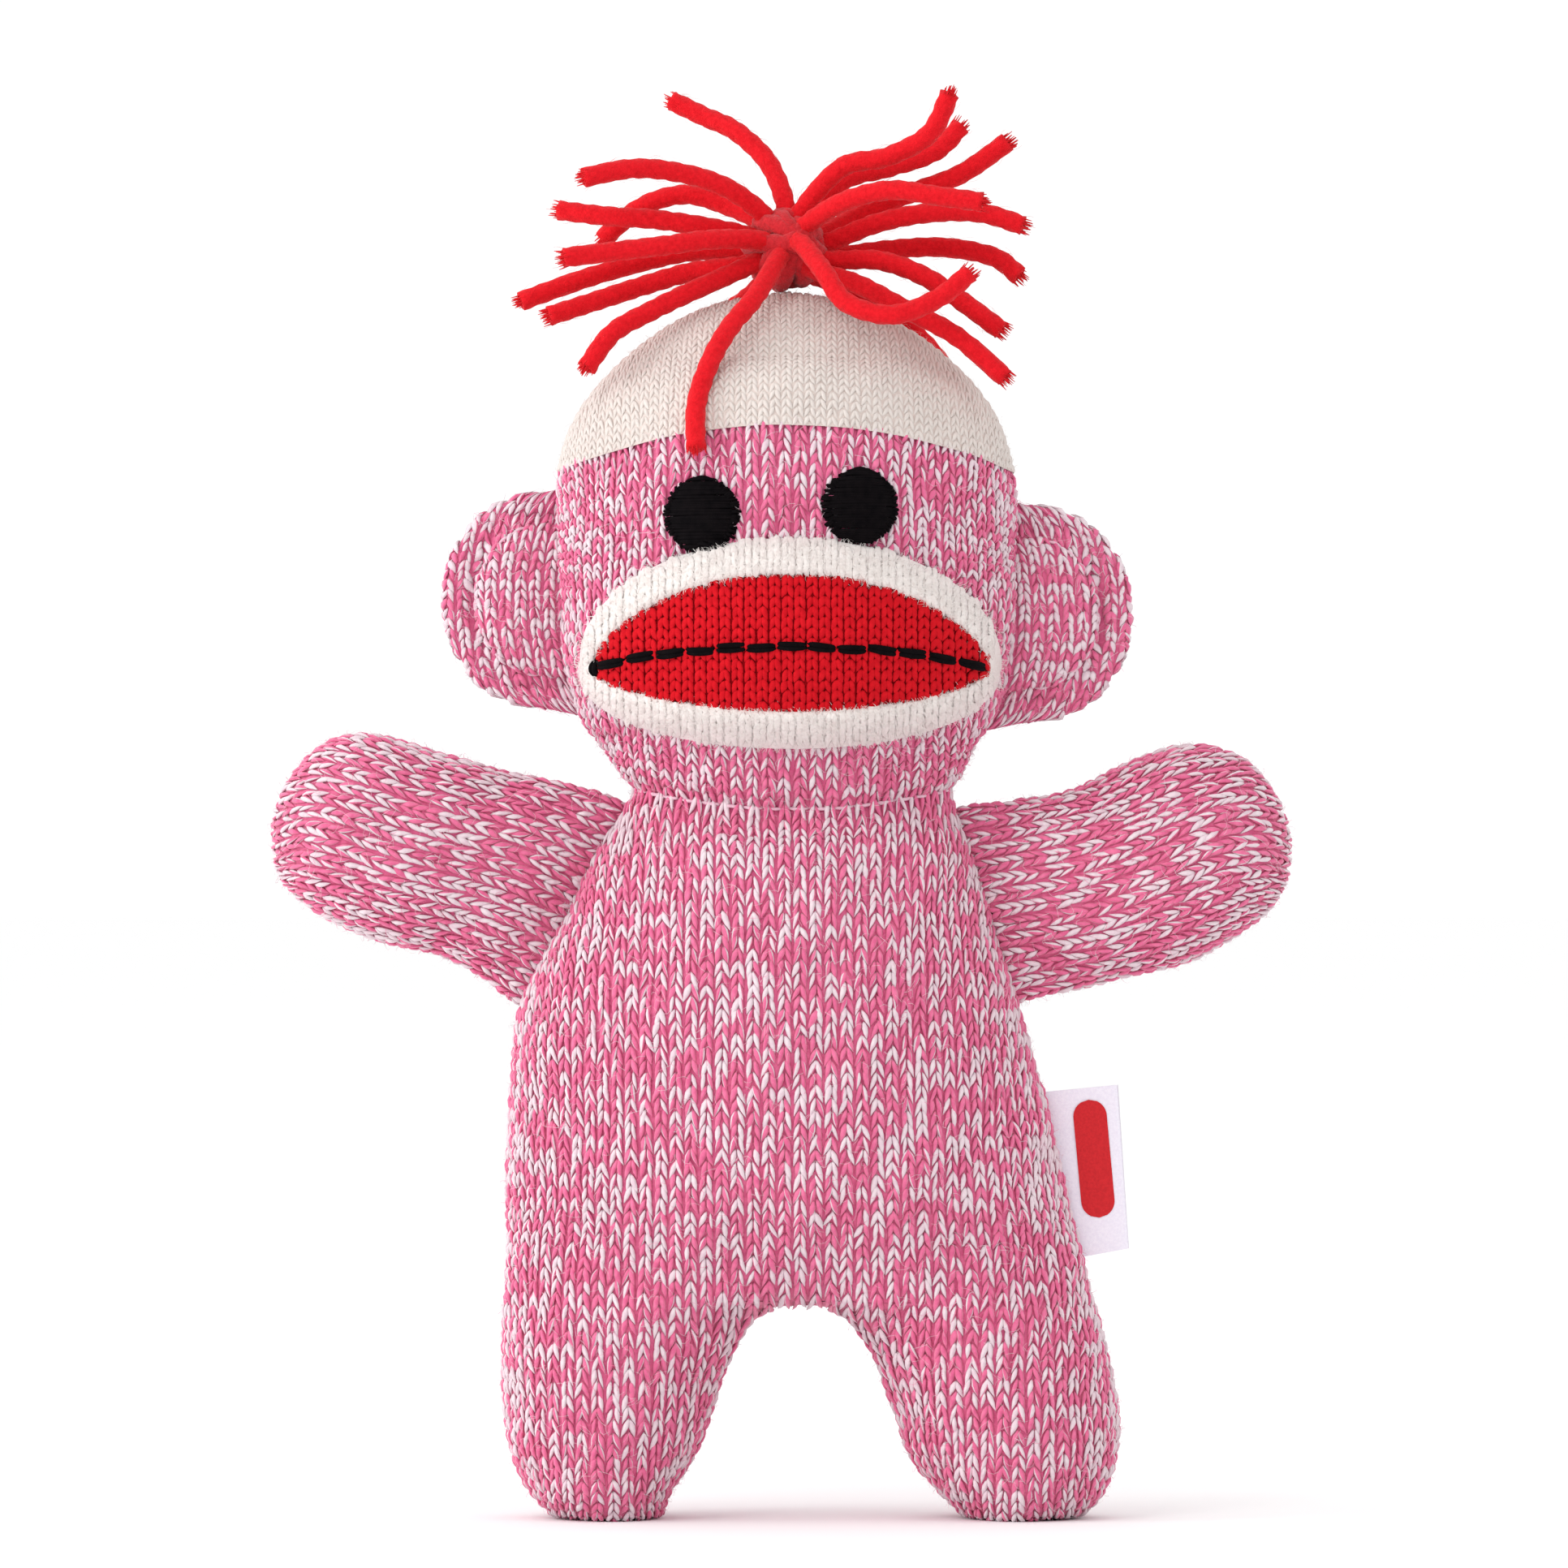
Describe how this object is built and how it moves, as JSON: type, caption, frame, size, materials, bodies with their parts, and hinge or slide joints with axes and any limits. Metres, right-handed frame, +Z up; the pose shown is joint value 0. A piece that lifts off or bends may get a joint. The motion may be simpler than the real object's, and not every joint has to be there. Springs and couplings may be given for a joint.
{
  "type": "stuffed knitted monkey",
  "caption": "Small stuffed monkey of marled stockinette with a cream muzzle, red lips, round ears and a red yarn tuft; stands on flat soles, soft neck, arms, legs and ears bend.",
  "frame": {"origin": "on the floor under the middle of the body's box, without the yarn strands", "axes": "+Z up, the face looks along -Y, +X to the right as seen from the front"},
  "size_m": [0.1582, 0.0657, 0.2219],
  "materials": {
    "marl_knit": "coarse stockinette of pink and white marled yarn",
    "cream_knit": "fine cream stockinette",
    "red_knit": "fine red stockinette",
    "black_thread": "black embroidery thread, satin and back stitch",
    "pale_thread": "pale sewing thread",
    "fibre_fill": "polyester fibre filling",
    "red_yarn": "soft plied red wool yarn",
    "label_tape": "white woven satin tape, folded and sewn into the seam",
    "label_weave": "plain red woven block with no lettering"
  },
  "bodies": {
    "torso": {"torso_front_panel": "marl_knit", "torso_back_panel": "marl_knit", "torso_stuffing": "fibre_fill"},
    "left_leg": {"left_leg_front_panel": "marl_knit", "left_leg_back_panel": "marl_knit", "left_leg_stuffing": "fibre_fill"},
    "right_leg": {"right_leg_front_panel": "marl_knit", "right_leg_back_panel": "marl_knit", "right_leg_stuffing": "fibre_fill"},
    "left_arm": {"left_arm_front_panel": "marl_knit", "left_arm_back_panel": "marl_knit", "left_arm_stuffing": "fibre_fill"},
    "right_arm": {"right_arm_front_panel": "marl_knit", "right_arm_back_panel": "marl_knit", "right_arm_stuffing": "fibre_fill"},
    "neck": {"neck_stuffing": "fibre_fill", "neck_seam_thread": "pale_thread"},
    "head": {"head_front_panel": "marl_knit", "head_back_panel": "marl_knit", "head_stuffing": "fibre_fill", "knit_cap": "cream_knit", "muzzle_panel": "cream_knit", "muzzle_stuffing": "fibre_fill", "lip_patch": "red_knit", "mouth_stitching": "black_thread", "left_eye": "black_thread", "right_eye": "black_thread", "yarn_knot": "red_yarn", "yarn_strand_1": "red_yarn", "yarn_strand_2": "red_yarn", "yarn_strand_3": "red_yarn", "yarn_strand_4": "red_yarn", "yarn_strand_5": "red_yarn", "yarn_strand_6": "red_yarn", "yarn_strand_7": "red_yarn", "yarn_strand_8": "red_yarn", "yarn_strand_9": "red_yarn", "yarn_strand_10": "red_yarn", "yarn_strand_11": "red_yarn", "yarn_strand_12": "red_yarn", "yarn_strand_13": "red_yarn", "yarn_strand_14": "red_yarn", "yarn_strand_15": "red_yarn", "yarn_strand_16": "red_yarn", "yarn_strand_17": "red_yarn", "yarn_strand_18": "red_yarn", "yarn_strand_19": "red_yarn", "yarn_strand_20": "red_yarn"},
    "left_ear": {"left_ear_front_panel": "marl_knit", "left_ear_back_panel": "marl_knit", "left_ear_padding": "fibre_fill", "left_ear_topstitch": "pale_thread"},
    "right_ear": {"right_ear_front_panel": "marl_knit", "right_ear_back_panel": "marl_knit", "right_ear_padding": "fibre_fill", "right_ear_topstitch": "pale_thread"},
    "label": {"woven_label": "label_tape", "label_mark": "label_weave"}
  },
  "joints": [
    {"name": "neck_turn", "type": "hinge", "parent": "torso", "child": "neck", "pos_m": [0.0017, 0.005, 0.11], "axis": [0, 0, 1], "range_deg": [-30, 30], "stiffness_Nm_per_rad": 0.05},
    {"name": "neck_nod", "type": "hinge", "parent": "neck", "child": "head", "pos_m": [0.0017, 0.005, 0.11], "axis": [1, 0, 0], "range_deg": [-18, 18], "stiffness_Nm_per_rad": 0.1},
    {"name": "left_shoulder", "type": "hinge", "parent": "torso", "child": "left_arm", "pos_m": [-0.0331, 0.005, 0.0961], "axis": [0.4408, 0, 0.8976], "range_deg": [-40, 60], "stiffness_Nm_per_rad": 0.02},
    {"name": "right_shoulder", "type": "hinge", "parent": "torso", "child": "right_arm", "pos_m": [0.0328, 0.005, 0.09545], "axis": [0.2865, 0, -0.9581], "range_deg": [-40, 60], "stiffness_Nm_per_rad": 0.02},
    {"name": "left_hip", "type": "hinge", "parent": "torso", "child": "left_leg", "pos_m": [-0.022, 0.005, 0.031], "axis": [-1, 0, 0], "range_deg": [-20, 45], "stiffness_Nm_per_rad": 0.25},
    {"name": "right_hip", "type": "hinge", "parent": "torso", "child": "right_leg", "pos_m": [0.026, 0.005, 0.031], "axis": [-1, 0, 0], "range_deg": [-20, 45], "stiffness_Nm_per_rad": 0.25},
    {"name": "left_ear_fold", "type": "hinge", "parent": "head", "child": "left_ear", "pos_m": [-0.0358, 0.005, 0.1424], "axis": [0, 0, 1], "range_deg": [-40, 40], "stiffness_Nm_per_rad": 0.004},
    {"name": "right_ear_fold", "type": "hinge", "parent": "head", "child": "right_ear", "pos_m": [0.0376, 0.005, 0.1403], "axis": [0, 0, -1], "range_deg": [-40, 40], "stiffness_Nm_per_rad": 0.004},
    {"name": "label_flip", "type": "hinge", "parent": "torso", "child": "label", "pos_m": [0.0441, 0.005, 0.0539], "axis": [0.2221, 0, -0.975], "range_deg": [-50, 50], "stiffness_Nm_per_rad": 0.0003}
  ]
}
